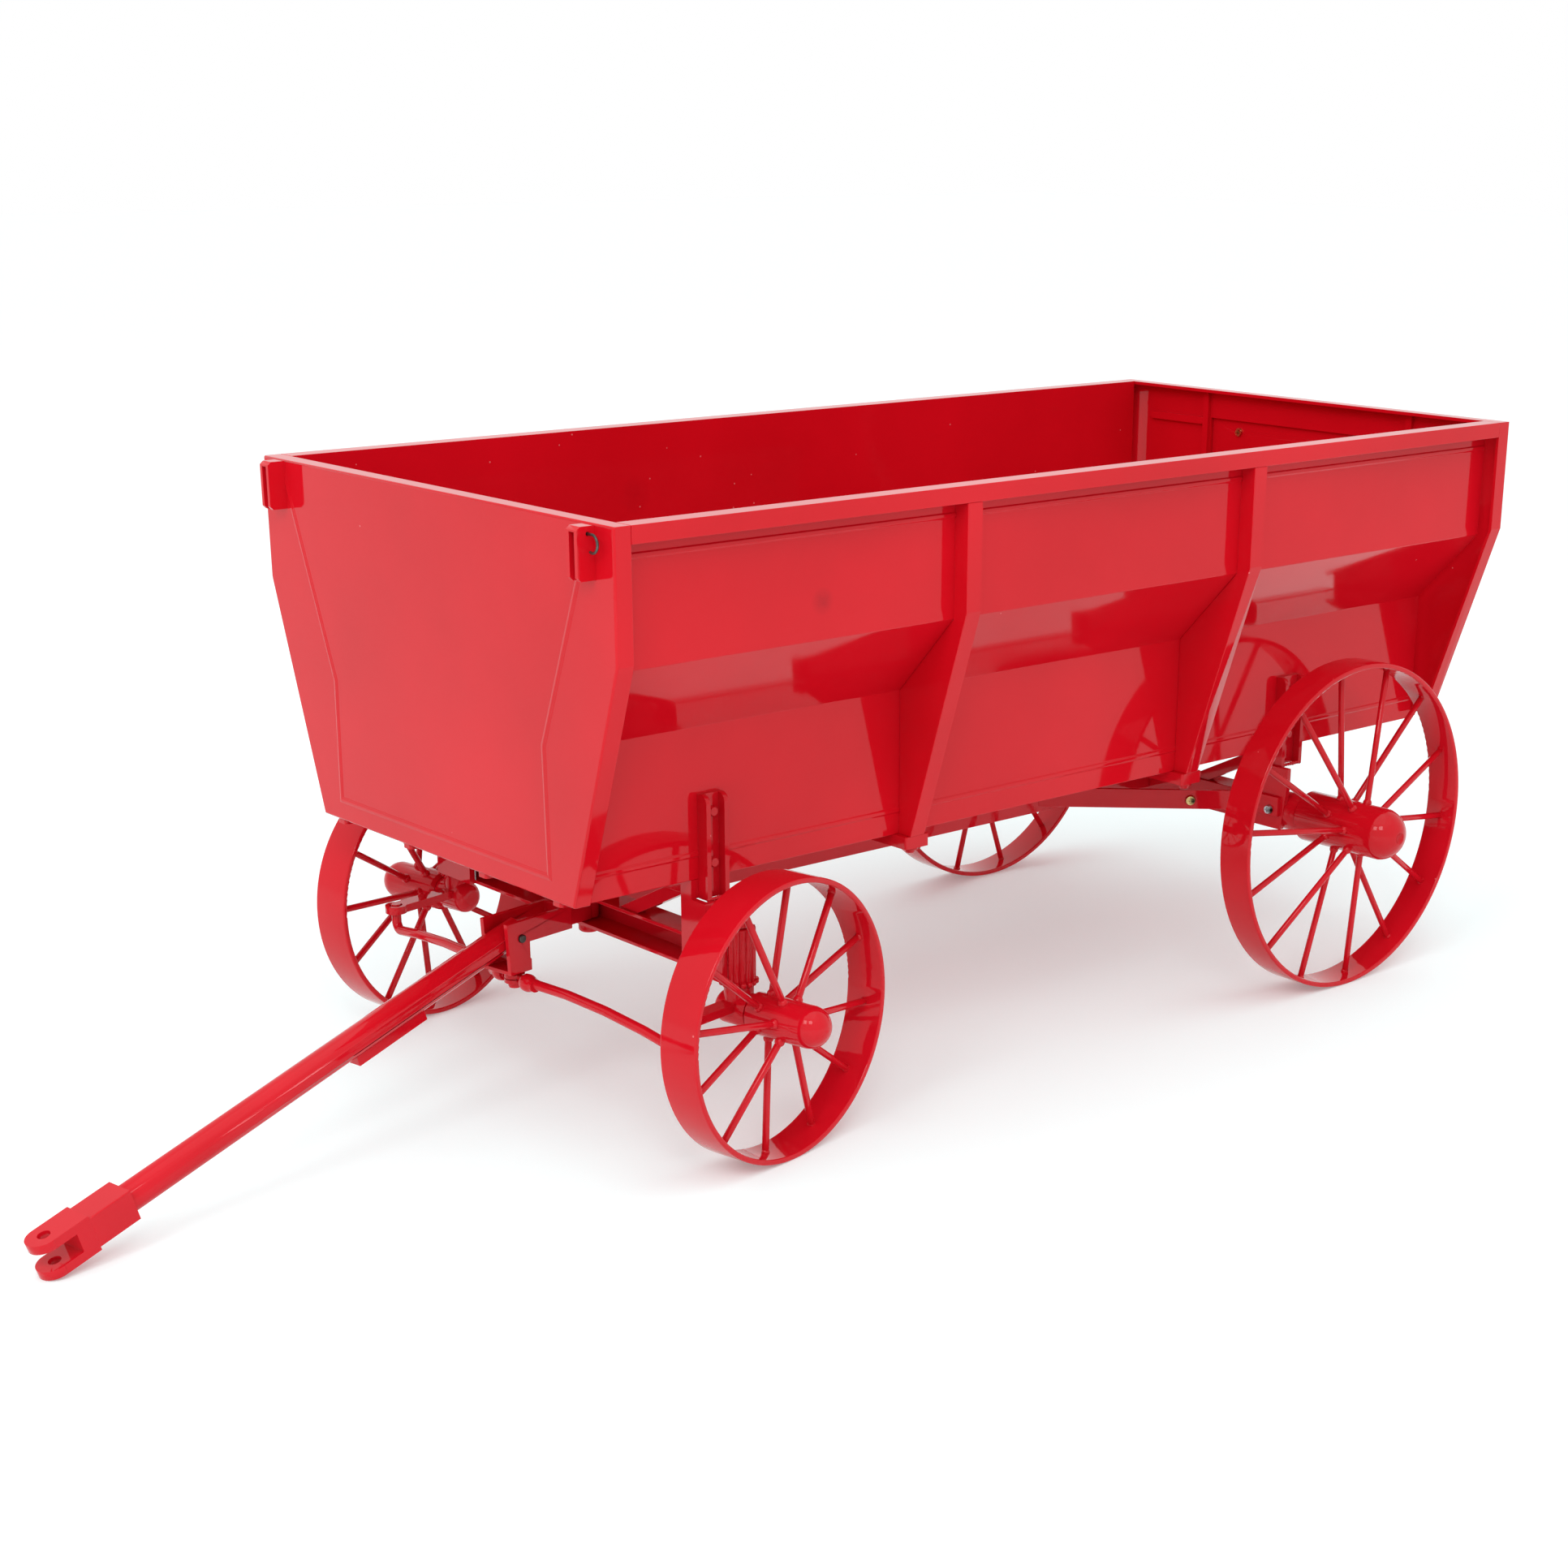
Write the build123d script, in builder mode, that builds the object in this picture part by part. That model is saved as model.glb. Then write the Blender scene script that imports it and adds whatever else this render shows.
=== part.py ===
"""Scale-model farm flare wagon: sheet-steel box on a steerable running gear with spoked steel wheels.

Units are millimetres. +Z is up, the tongue points towards -Y, and the wagon's left is +X.
The origin lies on the ground, midway between the tongue tip and the gate hinge.
"""

import os
from math import asin, atan2, cos, degrees, hypot, radians, sin, tan

from build123d import *

# ---------------------------------------------------------------- driving dimensions
box_centre_y = 75.165      # middle of the box, measured from the origin
box_length = 400.0
rim_half_width = 94.5      # outside of the top rail, the ribs and the end panels
foot_half_width = 70.0     # outside of the ribs and the end panels at the bottom
upper_wall_x = 88.6        # outside of the upper upright wall
lower_wall_x = 64.2        # outside of the lower upright wall
rim_z = 196.5
kink_z = 158.0             # the ribs and end panels start to taper here
upper_bend_z = 155.5
lower_bend_z = 129.4
panel_foot_z = 84.0        # lower edge of the end panels, and underside of the floor sheet
wall_foot_z = 82.5         # lower edge of the side walls and ribs
sheet = 1.2                # sheet steel of the box
fold_depth = 6.0           # folded edges of the end panels, and width of a rib
rail_height = 5.3

front_rib_y = -66.5        # rib places, measured from the middle of the box
rear_rib_y = 63.5

front_axle_y = -146.2      # measured from the middle of the box
rear_axle_y = 119.0
front_wheel_radius = 44.2
rear_wheel_radius = 59.3
front_rim_width = 14.0
rear_rim_width = 13.0
rear_wheel_x = 94.5        # middle of the rear rims
kingpin_x = 78.0
front_wheel_offset = 15.0  # kingpin to the middle of the front rim, along the stub axle

beam_foot_z = 53.5
beam_height = 10.7
beam_depth = 10.0
bolster_foot_z = 76.5

tongue_yaw = 9.0           # the wagon stands with its tongue and wheels turned to the left
steer_ratio = 7.0 / 6.0    # wheels turn this much more than the tongue
lug_reach = 33.0           # king bolt to the tie rod pin
arm_reach = lug_reach / steer_ratio
hitch_reach = 35.0         # king bolt to the hitch pin
hitch_z = 56.9
tongue_reach = 183.0       # hitch pin to the tip of the tongue
tongue_width = 8.7 
clevis_height = 11.6

running_gap = 0.05         # radial clearance of a shaft in its hole
side_gap = 0.3             # clearance between neighbours that move

# ---------------------------------------------------------------- derived places
box_front = box_centre_y - box_length / 2
box_rear = box_centre_y + box_length / 2
front_y = box_centre_y + front_axle_y
rear_y = box_centre_y + rear_axle_y
beam_head_z = beam_foot_z + beam_height
wheel_yaw = tongue_yaw * steer_ratio
tongue_pitch = degrees(
    asin(hitch_z / hypot(tongue_reach, clevis_height / 2)) - atan2(clevis_height / 2, tongue_reach)
)

LEFT, RIGHT = 1, -1
SIDES = {"left": LEFT, "right": RIGHT}

os.makedirs("parts", exist_ok=True)


def save(part, name):
    """Label a finished piece and write it as one STEP file."""
    part.label = name
    export_step(part, f"parts/{name}.step")


def upright_plane(y):
    """Plane across the wagon at y; a sketch there is drawn in X and Z and extrudes forwards."""
    return Plane.XZ.offset(-y)


def head_point(ahead, across, height):
    """Place measured from the king bolt along the turned tongue: ahead, to its left, and up."""
    turn = radians(tongue_yaw)
    return Vector(
        ahead * sin(turn) + across * cos(turn),
        front_y - ahead * cos(turn) + across * sin(turn),
        height,
    )


def head_plane(height):
    """Level plane at the king bolt: its x runs ahead along the tongue, its y to the left."""
    turn = radians(tongue_yaw)
    return Plane(origin=(0, front_y, height), x_dir=(sin(turn), -cos(turn), 0), z_dir=(0, 0, 1))


# ---------------------------------------------------------------- box: walls
bend_angle = degrees(atan2(upper_wall_x - lower_wall_x, upper_bend_z - lower_bend_z))
bend_rise = sheet * tan(radians(bend_angle / 2))   # the inner corner of a bend sits higher by this
rail_foot_z = rim_z - rail_height
bead_z_upper = 187.1
bead_z_lower = 90.4
bead_half = 1.1
bead_rise = 0.35


def wall_bead(side, wall_x, z):
    """Corners of the shallow flat-topped bead rolled along a wall, for one side of the wagon."""
    root = side * (wall_x - 0.2)
    crest = side * (wall_x + bead_rise)
    return (
        (root, z - bead_half),
        (crest, z - bead_half / 2),
        (crest, z + bead_half / 2),
        (root, z + bead_half),
    )


def bead_sections(side):
    """Sections of both beads of a side wall."""
    with BuildSketch() as sections:
        for wall_x, z in ((upper_wall_x, bead_z_upper), (lower_wall_x, bead_z_lower)):
            with BuildLine():
                Polyline(*wall_bead(side, wall_x, z), close=True)
            make_face()
    return sections.sketch


def side_wall(side):
    """Flared side wall: bent sheet, a rail folded outwards along the top, and two rolled beads."""
    wall_length = box_length - 2 * fold_depth
    with BuildPart() as wall:
        with BuildSketch(upright_plane(box_rear - fold_depth)):
            with BuildLine():
                Polyline(
                    (side * lower_wall_x, wall_foot_z),
                    (side * lower_wall_x, lower_bend_z),
                    (side * upper_wall_x, upper_bend_z),
                    (side * upper_wall_x, rim_z - sheet),
                    (side * (rim_half_width - sheet), rim_z - sheet),
                    (side * (rim_half_width - sheet), rail_foot_z),
                    (side * rim_half_width, rail_foot_z),
                    (side * rim_half_width, rim_z),
                    (side * (upper_wall_x - sheet), rim_z),
                    (side * (upper_wall_x - sheet), upper_bend_z + bend_rise),
                    (side * (lower_wall_x - sheet), lower_bend_z + bend_rise),
                    (side * (lower_wall_x - sheet), wall_foot_z),
                    close=True,
                )
            make_face()
        extrude(amount=wall_length)
        with BuildSketch(upright_plane(box_rear - fold_depth)):
            add(bead_sections(side))
        extrude(amount=wall_length)
    return wall.part


side_panels = {name: side_wall(side) for name, side in SIDES.items()}


def taper_outline(width_top, width_foot, top, foot):
    """Corners of the coffin-shaped end panel outline, clockwise from the top left."""
    return (
        (-width_top, top),
        (width_top, top),
        (width_top, kink_z),
        (width_foot, foot),
        (-width_foot, foot),
        (-width_top, kink_z),
    )


def end_pan(y_outer, direction):
    """End panel with its edges folded towards the box; direction is +1 where that is +Y."""
    inner = sheet
    fold_y = y_outer + fold_depth if direction > 0 else y_outer
    face_y = y_outer + sheet if direction > 0 else y_outer
    with BuildPart() as pan:
        with BuildSketch(upright_plane(fold_y)):
            with BuildLine():
                Polyline(*taper_outline(rim_half_width, foot_half_width, rim_z, panel_foot_z), close=True)
            make_face()
            with BuildLine():
                Polyline(
                    *taper_outline(
                        rim_half_width - inner, foot_half_width - inner, rim_z - inner, panel_foot_z
                    ),
                    close=True,
                )
            make_face(mode=Mode.SUBTRACT)
        extrude(amount=fold_depth)
        with BuildSketch(upright_plane(face_y)):
            with BuildLine():
                Polyline(*taper_outline(rim_half_width, foot_half_width, rim_z, panel_foot_z), close=True)
            make_face()
        extrude(amount=sheet)
        outer_face = pan.faces().sort_by(Axis.Y)[0 if direction > 0 else -1]
        fillet(outer_face.edges(), 0.7)
    return pan.part


# crease pressed into the front panel, parallel to the box section behind it
crease_width = 1.9
crease_height = 0.4
crease_path = ((-83, rim_z - 2), (-57.6, 130), (-58.3, 91), (58.3, 91), (57.6, 130), (83, rim_z - 2))

front_pan = end_pan(box_front, +1)
with BuildPart() as front_panel:
    add(front_pan)
    with BuildSketch(upright_plane(box_front)):
        with BuildLine():
            Polyline(*crease_path)
        trace(line_width=crease_width)
    extrude(amount=crease_height, taper=50)

# ---------------------------------------------------------------- box: rear frame and end gate
gate_half_width = 49.0
gate_foot_z = 90.0
gate_head_z = 185.0
gate_margin = 3.0          # how far the gate laps over its frame
hinge_y = box_rear + 3.4
hinge_z = 189.0
hinge_radius = 1.1
strap_x = 35.0
bracket_x = 44.0
gate_screw_z = 180.4

rear_pan = end_pan(box_rear, -1)
with BuildPart() as rear_frame:
    add(rear_pan)
    with BuildSketch(upright_plane(box_rear + 1)):
        with BuildLine():
            Polyline(
                (-gate_half_width, gate_foot_z),
                (-gate_half_width, gate_head_z),
                (gate_half_width, gate_head_z),
                (gate_half_width, gate_foot_z),
                close=True,
            )
        make_face()
    extrude(amount=3, mode=Mode.SUBTRACT)
    with BuildSketch(upright_plane(box_rear - sheet + 0.1)):
        with Locations((66.5, 183.6), (-66.5, 183.6)):
            SlotOverall(29, 2.8)
    extrude(amount=1.5)
    with BuildSketch(upright_plane(box_rear - sheet + 0.1)):
        with Locations((gate_half_width + 1.8, 142.5), (-gate_half_width - 1.8, 142.5)):
            Rectangle(2.8, 105)
    extrude(amount=1.7)

gate_y = box_rear + side_gap + sheet
with BuildPart() as end_gate:
    with BuildSketch(upright_plane(gate_y)):
        with Locations((0, (gate_foot_z + gate_head_z) / 2)):
            RectangleRounded(
                2 * (gate_half_width + gate_margin),
                gate_head_z - gate_foot_z + 2 * gate_margin - 3,
                2.5,
            )
    extrude(amount=sheet)
    with BuildSketch(upright_plane(gate_y + 0.5)):
        with Locations((0, 104), (0, 137)):
            SlotOverall(86, 3)
    extrude(amount=0.6)
    with Locations(Plane.XZ.offset(-gate_y - 2)):
        with Locations((strap_x, gate_screw_z), (-strap_x, gate_screw_z)):
            Hole(radius=0.9)

with BuildPart() as gate_straps:
    for x in (strap_x, -strap_x):
        with BuildSketch(Plane.YZ.offset(x - 3)):
            with Locations((hinge_y, hinge_z)):
                Circle(2.2)
            with BuildLine():
                Polyline(
                    (gate_y, 152),
                    (gate_y, hinge_z),
                    (hinge_y, hinge_z),
                    (gate_y + 1.1, hinge_z - 3.2),
                    (gate_y + 1.1, 152),
                    close=True,
                )
            make_face()
            with Locations((hinge_y, hinge_z)):
                Circle(hinge_radius + running_gap, mode=Mode.SUBTRACT)
        extrude(amount=6)
    with Locations(Plane.XZ.offset(-gate_y - 4)):
        with Locations((strap_x, gate_screw_z), (-strap_x, gate_screw_z)):
            Hole(radius=0.9)

with BuildPart() as gate_hinge_brackets:
    for x in (bracket_x, -bracket_x):
        with BuildSketch(Plane.YZ.offset(x - 2)):
            with Locations((hinge_y, hinge_z)):
                Circle(2.2)
            with Locations(((box_rear + hinge_y) / 2, hinge_z)):
                Rectangle(hinge_y - box_rear, 4.4)
            with Locations((hinge_y, hinge_z)):
                Circle(hinge_radius, mode=Mode.SUBTRACT)
        extrude(amount=4)

with BuildPart() as gate_hinge_pin:
    with BuildSketch(Plane.YZ.offset(-bracket_x - 4)):
        with Locations((hinge_y, hinge_z)):
            Circle(hinge_radius)
    extrude(amount=2 * bracket_x + 8)

with BuildPart() as gate_screws:
    for x in (strap_x, -strap_x):
        with BuildSketch(upright_plane(gate_y + 1.1)):
            with Locations((x, gate_screw_z)):
                Circle(0.9)
        extrude(amount=sheet + 1.1)
        with BuildSketch(upright_plane(gate_y - sheet)):
            with Locations((x, gate_screw_z)):
                Circle(1.55)
                Rectangle(1.9, 0.4, mode=Mode.SUBTRACT)
                Rectangle(0.4, 1.9, mode=Mode.SUBTRACT)
        extrude(amount=0.8)
        with BuildSketch(upright_plane(gate_y + 1.9)):
            with Locations((x, gate_screw_z)):
                Circle(1.5)
        extrude(amount=0.8)

# ---------------------------------------------------------------- box: floor, ribs, ears
floor_half_width = lower_wall_x - sheet
with BuildPart() as box_floor:
    with BuildSketch(Plane.XY.offset(panel_foot_z)):
        with Locations((0, box_centre_y)):
            Rectangle(2 * floor_half_width, box_length - 2 * sheet)
    extrude(amount=sheet)

runner_xs = (-60.4, -21.2, 21.2, 60.4)
with BuildPart() as floor_runners:
    with BuildSketch(Plane.XY.offset(wall_foot_z)):
        for x in runner_xs:
            with Locations((x, box_centre_y)):
                RectangleRounded(4.6, box_length - 1.2, 1)
    extrude(amount=panel_foot_z - wall_foot_z)


def side_rib(side, y):
    """Rib folded from sheet: a tapering outer strip with two cheeks that lie against the wall."""
    cheek = 1.0
    with BuildPart() as rib:
        with BuildSketch(upright_plane(y + fold_depth / 2)):
            with BuildLine():
                Polyline(
                    (side * lower_wall_x, wall_foot_z),
                    (side * foot_half_width, wall_foot_z),
                    (side * rim_half_width, kink_z),
                    (side * rim_half_width, rail_foot_z),
                    (side * upper_wall_x, rail_foot_z),
                    (side * upper_wall_x, upper_bend_z),
                    (side * lower_wall_x, lower_bend_z),
                    close=True,
                )
            make_face()
        extrude(amount=fold_depth)
        with BuildSketch(upright_plane(y + fold_depth / 2 - cheek)):
            with BuildLine():
                Polyline(
                    (side * (lower_wall_x - 1), wall_foot_z - 1),
                    (side * (foot_half_width - cheek), wall_foot_z - 1),
                    (side * (rim_half_width - cheek), kink_z),
                    (side * (rim_half_width - cheek), rail_foot_z - cheek),
                    (side * (upper_wall_x - 1), rail_foot_z - cheek),
                    (side * (upper_wall_x - 1), upper_bend_z),
                    (side * (lower_wall_x - 1), lower_bend_z),
                    close=True,
                )
            make_face()
        extrude(amount=fold_depth - 2 * cheek, mode=Mode.SUBTRACT)
        # the rolled beads of the wall pass through notches in the cheeks
        with BuildSketch(upright_plane(y + fold_depth / 2)):
            add(bead_sections(side))
        extrude(amount=fold_depth, mode=Mode.SUBTRACT)
    return rib.part


ribs = {}
for side_name, side in SIDES.items():
    with BuildPart() as rib_pair:
        add(side_rib(side, box_centre_y + front_rib_y))
        add(side_rib(side, box_centre_y + rear_rib_y))
    ribs[side_name] = rib_pair.part

ear_outer_x = 86.0
ear_width = 5.0
ear_sheet = 1.3
ear_depth = 6.0
ear_foot_z = 181.2
ear_head_z = rim_z - 0.4
ring_hole_y = box_front - 2.4
ring_hole_z = 194.0
ring_wire_radius = 0.4
ring_radius = 2.5
with BuildPart() as corner_ears:
    for x in (ear_outer_x - ear_width, -ear_outer_x):
        with BuildSketch(Plane.YZ.offset(x)):
            with BuildLine():
                Polyline(
                    (box_front, ear_foot_z),
                    (box_front, ear_head_z),
                    (box_front - ear_depth + 1.2, ear_head_z),
                    (box_front - ear_depth, ear_head_z - 1),
                    (box_front - ear_depth, ear_foot_z + 1),
                    (box_front - ear_depth + 1, ear_foot_z),
                    close=True,
                )
            make_face()
        extrude(amount=ear_width)
        # the folded ear is open to the front and below
        with BuildSketch(Plane.YZ.offset(x + ear_sheet)):
            with Locations((box_front - ear_depth / 2 - 2, (ear_foot_z + ear_head_z) / 2 - 2)):
                Rectangle(ear_depth, ear_head_z - ear_foot_z + 1)
        extrude(amount=ear_width - 2 * ear_sheet, mode=Mode.SUBTRACT)
    with BuildSketch(Plane.YZ.offset(ear_outer_x - ear_sheet - 1)):
        with Locations((ring_hole_y, ring_hole_z)):
            Circle(ring_wire_radius + 0.2)
    extrude(amount=ear_sheet + 2, mode=Mode.SUBTRACT)
    # the crease of the front panel runs behind each ear
    add(front_panel.part, mode=Mode.SUBTRACT)

with BuildPart() as ring_hook:
    ring_x = ear_outer_x + 2
    with BuildLine(Plane.XZ.offset(-ring_hole_y)):
        hook_shank = Line((ear_outer_x - ear_sheet - 1, ring_hole_z), (ring_x, ring_hole_z))
        CenterArc((ring_x, ring_hole_z - ring_radius), ring_radius, 90, -205)
    with BuildSketch(Plane(origin=hook_shank @ 0, z_dir=hook_shank % 0)):
        Circle(ring_wire_radius)
    sweep()

# ---------------------------------------------------------------- underframe of the box
sill_height = 4.0
with BuildPart() as cross_sills:
    with BuildSketch(Plane.XY.offset(wall_foot_z - sill_height)):
        for y in (front_rib_y, rear_rib_y):
            with Locations((0, box_centre_y + y)):
                Rectangle(2 * foot_half_width, 10)
    extrude(amount=sill_height)
    fillet(cross_sills.edges().filter_by(Axis.Z), 0.8)

with BuildPart() as sill_bolts:
    for y in (front_rib_y, rear_rib_y):
        for x in (-66.5, 66.5):
            with BuildSketch(Plane.XY.offset(wall_foot_z - sill_height - 1)):
                with Locations((x, box_centre_y + y)):
                    Circle(2.6)
            extrude(amount=1)
            with BuildSketch(Plane.XY.offset(wall_foot_z - sill_height - 1)):
                with Locations((x, box_centre_y + y)):
                    Circle(2.0)
            extrude(amount=-1.1, taper=25)

bolster_half = lower_wall_x


def bolster(y):
    """Channel bar, open below, that carries the box across the wagon."""
    with BuildPart() as bar:
        with BuildSketch(Plane.YZ.offset(-bolster_half)):
            with Locations((y, (bolster_foot_z + wall_foot_z) / 2)):
                Rectangle(beam_depth, wall_foot_z - bolster_foot_z)
            with Locations((y, bolster_foot_z + 2)):
                Rectangle(beam_depth - 3, 5.2, mode=Mode.SUBTRACT)
        extrude(amount=2 * bolster_half)
    return bar.part


with BuildPart() as bolsters:
    add(bolster(front_y))
    add(bolster(rear_y))


def stakes(y, width):
    """Pair of channel stakes, open outwards, that grip the box above the bolster ends."""
    depth = 4.6
    head_z = 109.0
    flange = 1.6
    with BuildPart() as pair:
        for side in (LEFT, RIGHT):
            wall = side * lower_wall_x
            with BuildSketch(Plane.XY.offset(bolster_foot_z)):
                with Locations((wall + side * depth / 2, y)):
                    Rectangle(depth, width)
                with Locations((wall + side * (depth / 2 + flange), y)):
                    Rectangle(depth, width - 2 * flange, mode=Mode.SUBTRACT)
            extrude(amount=head_z - bolster_foot_z)
        outer_heads = pair.edges().filter_by(Axis.Y).group_by(Axis.Z)[-1]
        fillet([edge for edge in outer_heads if abs(edge.center().X) > lower_wall_x + 4], 2.8)
        # the lower bead of the box wall fits into a notch
        for side in (LEFT, RIGHT):
            with BuildSketch(upright_plane(y + width)):
                add(bead_sections(side))
            extrude(amount=2 * width, mode=Mode.SUBTRACT)
    return pair.part


front_stake_width = 8.4
rear_stake_width = 11.0
front_stakes = stakes(front_y, front_stake_width)
rear_stakes = stakes(rear_y, rear_stake_width)

with BuildPart() as stake_bolts:
    for side in (LEFT, RIGHT):
        for y in (front_y, rear_y):
            for z in (87.6, 103.4):
                with BuildSketch(Plane.YZ.offset(side * (lower_wall_x + 1.6))):
                    with Locations((y, z)):
                        Circle(1.7)
                extrude(amount=side * 1.4, taper=15)

# ---------------------------------------------------------------- front axle
channel = 1.2
front_beam_half = kingpin_x - 5.6
with BuildPart() as front_axle_beam:
    with BuildSketch(Plane.YZ.offset(-front_beam_half)):
        with Locations((front_y, beam_foot_z + beam_height / 2)):
            Rectangle(beam_depth, beam_height)
        with Locations((front_y - channel, beam_foot_z + beam_height / 2)):
            Rectangle(beam_depth, beam_height - 2 * channel, mode=Mode.SUBTRACT)
    extrude(amount=2 * front_beam_half)
    with Locations((0, front_y, beam_head_z)):
        Hole(radius=1.8)

with BuildPart() as king_bolt:
    with BuildSketch(Plane.XY.offset(beam_foot_z - 3)):
        with Locations((0, front_y)):
            Circle(1.8)
    extrude(amount=beam_height + 3)
    with BuildSketch(Plane.XY.offset(beam_head_z)):
        with Locations((0, front_y)):
            RegularPolygon(3.2, 6)
    extrude(amount=2.2)

with BuildPart() as king_bolt_nut:
    with BuildSketch(Plane.XY.offset(beam_foot_z - 3.4)):
        with Locations((0, front_y)):
            Circle(3.4)
            Circle(1.8, mode=Mode.SUBTRACT)
    extrude(amount=3.4)
    fillet(king_bolt_nut.edges().filter_by(GeomType.CIRCLE).group_by(Axis.Z)[0].sort_by(SortBy.RADIUS)[-1], 1)

post_half = 11.0


def axle_braces(y):
    """Middle post and two slanting braces between an axle beam and its bolster."""
    with BuildPart() as braces:
        with BuildSketch(upright_plane(y - 1)):
            for side in (LEFT, RIGHT):
                with BuildLine():
                    Polyline(
                        (side * 22.8, beam_head_z),
                        (side * 32.3, beam_head_z),
                        (side * 57, bolster_foot_z),
                        (side * 47.5, bolster_foot_z),
                        close=True,
                    )
                make_face()
        extrude(amount=3)
    return braces.part


with BuildPart() as bolster_braces:
    add(axle_braces(front_y))
    add(axle_braces(rear_y))


def axle_post(y):
    """Short post between the middle of an axle beam and its bolster, hollow over the king bolt."""
    with BuildPart() as post:
        with BuildSketch(Plane.XY.offset(beam_head_z)):
            with Locations((0, y)):
                Rectangle(2 * post_half, beam_depth - 1)
                Rectangle(2 * post_half - 6, beam_depth - 3, mode=Mode.SUBTRACT)
        extrude(amount=bolster_foot_z - beam_head_z)
    return post.part


with BuildPart() as bolster_posts:
    add(axle_post(front_y))
    add(axle_post(rear_y))

plate = 2.0                # thickness of the upright plates in front of each axle beam
housing_radius = 5.3
flute_count = 16
flute_radius = 1.0
flute_depth = 0.5
housing_foot_z = 52.0
housing_head_z = 70.0
fold_foot_z = 66.0
kingpin_radius = 2.2
with BuildPart() as front_standards:
    for side in (LEFT, RIGHT):
        with BuildSketch(upright_plane(front_y - beam_depth / 2)):
            with BuildLine():
                Polyline(
                    (side * 59, beam_foot_z),
                    (side * 59, wall_foot_z),
                    (side * lower_wall_x, wall_foot_z),
                    (side * lower_wall_x, bolster_foot_z),
                    (side * 71, bolster_foot_z),
                    (side * 71, 70),
                    (side * 79, 66),
                    (side * 79, beam_foot_z),
                    close=True,
                )
            make_face()
        extrude(amount=plate)
        # inner edge of the plate, folded back under the bolster
        with BuildSketch(Plane.XY.offset(fold_foot_z)):
            with Locations((side * (71 - plate / 2), front_y - plate / 2)):
                Rectangle(plate, beam_depth)
        extrude(amount=bolster_foot_z - fold_foot_z)
        with BuildSketch(Plane.XY.offset(housing_foot_z)):
            with Locations((side * kingpin_x, front_y)):
                Circle(housing_radius - flute_depth)
                with PolarLocations(housing_radius - flute_radius, flute_count):
                    Circle(flute_radius)
        extrude(amount=housing_head_z - housing_foot_z)
        with BuildSketch(Plane.XY.offset(housing_foot_z)):
            with Locations((side * kingpin_x, front_y)):
                Circle(kingpin_radius + running_gap)
        extrude(amount=housing_head_z - housing_foot_z, mode=Mode.SUBTRACT)

# ---------------------------------------------------------------- steering knuckles and front wheels
wheel_turn = radians(wheel_yaw)


def stub_plane(side, out, height=front_wheel_radius):
    """Plane square to a stub axle, whose z points out of the wheel, at a distance from the kingpin."""
    outward = Vector(side * cos(wheel_turn), side * sin(wheel_turn), 0)
    origin = Vector(side * kingpin_x, front_y, height) + outward * out
    return Plane(origin=origin, x_dir=(0, 0, 1), z_dir=outward)


def arm_end(side, height):
    """Middle of the eye at the front of a steering arm."""
    return Vector(
        side * kingpin_x + arm_reach * sin(wheel_turn),
        front_y - arm_reach * cos(wheel_turn),
        height,
    )


barrel_radius = 5.4
barrel_inner = -7.0
barrel_rounding = 3.4
barrel_outer = 6.2
stub_radius = 2.6
front_hub_radius = 6.6
front_hub_inner = barrel_outer + side_gap
front_hub_outer = 28.0
arm_foot_z = 44.6
arm_height = 2.6
rod_radius = 1.6


def steering_knuckle(side):
    """Knuckle: stub-axle barrel, boss under the kingpin housing, and the steering arm with its eye."""
    with BuildPart() as knuckle:
        with BuildSketch(stub_plane(side, barrel_inner)):
            Circle(barrel_radius)
        extrude(amount=barrel_outer - barrel_inner)
        inner_end = stub_plane(side, barrel_inner).origin
        inner_rim = knuckle.edges().filter_by(GeomType.CIRCLE).sort_by_distance(inner_end)[0]
        fillet(inner_rim, barrel_rounding)
        with BuildSketch(stub_plane(side, barrel_outer)):
            Circle(stub_radius)
        extrude(amount=front_hub_outer - barrel_outer - 1)
        with BuildSketch(Plane.XY.offset(front_wheel_radius)):
            with Locations((side * kingpin_x, front_y)):
                Circle(4.6)
        extrude(amount=housing_foot_z - side_gap - front_wheel_radius)
        eye = arm_end(side, arm_foot_z)
        with BuildSketch(Plane.XY.offset(arm_foot_z)):
            with Locations((eye.X, eye.Y)):
                Circle(3.6)
            with Locations(Location(((eye.X + side * kingpin_x) / 2, (eye.Y + front_y) / 2), wheel_yaw)):
                Rectangle(5.4, arm_reach)
        extrude(amount=arm_height)
        with BuildSketch(Plane.XY.offset(arm_foot_z)):
            with Locations((eye.X, eye.Y)):
                Circle(rod_radius + 0.6)
        extrude(amount=arm_height, mode=Mode.SUBTRACT)
        with BuildSketch(Plane.XY.offset(front_wheel_radius + 1)):
            with Locations((side * kingpin_x, front_y)):
                Circle(kingpin_radius)
        extrude(amount=housing_foot_z - front_wheel_radius, mode=Mode.SUBTRACT)
    return knuckle.part


def kingpin(side):
    """Kingpin pressed into the knuckle, with a domed head above its housing."""
    with BuildPart() as pin:
        with BuildSketch(Plane.XY.offset(front_wheel_radius + 1)):
            with Locations((side * kingpin_x, front_y)):
                Circle(kingpin_radius)
        extrude(amount=housing_head_z + side_gap - front_wheel_radius - 1)
        with BuildSketch(Plane.XY.offset(housing_head_z + side_gap)):
            with Locations((side * kingpin_x, front_y)):
                Circle(3.6)
        extrude(amount=2.2, taper=20)
    return pin.part


knuckles = {name: steering_knuckle(side) for name, side in SIDES.items()}
kingpins = {name: kingpin(side) for name, side in SIDES.items()}


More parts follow.
